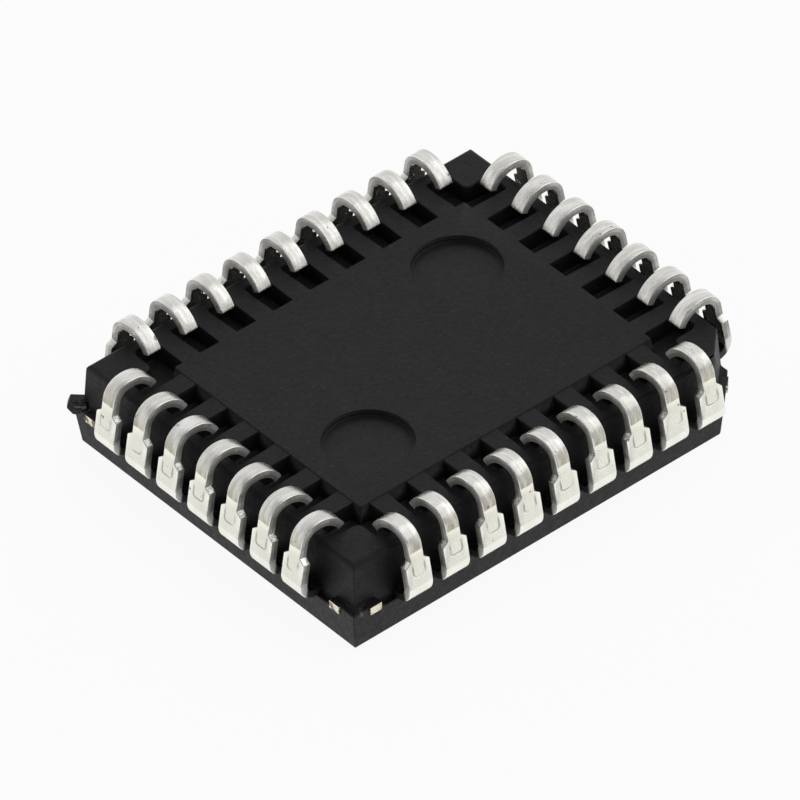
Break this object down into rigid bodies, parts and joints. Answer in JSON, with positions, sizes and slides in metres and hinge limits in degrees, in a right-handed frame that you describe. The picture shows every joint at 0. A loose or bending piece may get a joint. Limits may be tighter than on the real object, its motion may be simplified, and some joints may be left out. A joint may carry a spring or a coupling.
{
  "type": "plcc chip",
  "caption": "Rectangular plastic leaded chip carrier with J-shaped leads along every side, lying on its marked face, with lead frame, die and bond wires inside.",
  "frame": {"origin": "middle of the flat marked face that the chip lies on", "axes": "+X along the long sides towards the short side with the first lead, +Y along the short sides away from the index corner, +Z out of the underside, towards the leads' crests"},
  "size_m": [0.015, 0.0124, 0.0033],
  "materials": {
    "mould_compound": "matte spark-eroded epoxy",
    "tin_plate": "matte tin plating",
    "frame_alloy": "plain rolled copper alloy",
    "die_adhesive": "silver-filled epoxy",
    "silicon": "polished",
    "bond_wire": "bright drawn wire"
  },
  "bodies": {
    "root": {"body": "mould_compound", "die_paddle": "frame_alloy", "die_attach": "die_adhesive", "die": "silicon", "bond_wires": "bond_wire", "lead_01": "tin_plate", "lead_02": "tin_plate", "lead_03": "tin_plate", "lead_04": "tin_plate", "lead_05": "tin_plate", "lead_06": "tin_plate", "lead_07": "tin_plate", "lead_08": "tin_plate", "lead_09": "tin_plate", "lead_10": "tin_plate", "lead_11": "tin_plate", "lead_12": "tin_plate", "lead_13": "tin_plate", "lead_14": "tin_plate", "lead_15": "tin_plate", "lead_16": "tin_plate", "lead_17": "tin_plate", "lead_18": "tin_plate", "lead_19": "tin_plate", "lead_20": "tin_plate", "lead_21": "tin_plate", "lead_22": "tin_plate", "lead_23": "tin_plate", "lead_24": "tin_plate", "lead_25": "tin_plate", "lead_26": "tin_plate", "lead_27": "tin_plate", "lead_28": "tin_plate", "lead_29": "tin_plate", "lead_30": "tin_plate", "lead_31": "tin_plate", "lead_32": "tin_plate"}
  },
  "joints": []
}
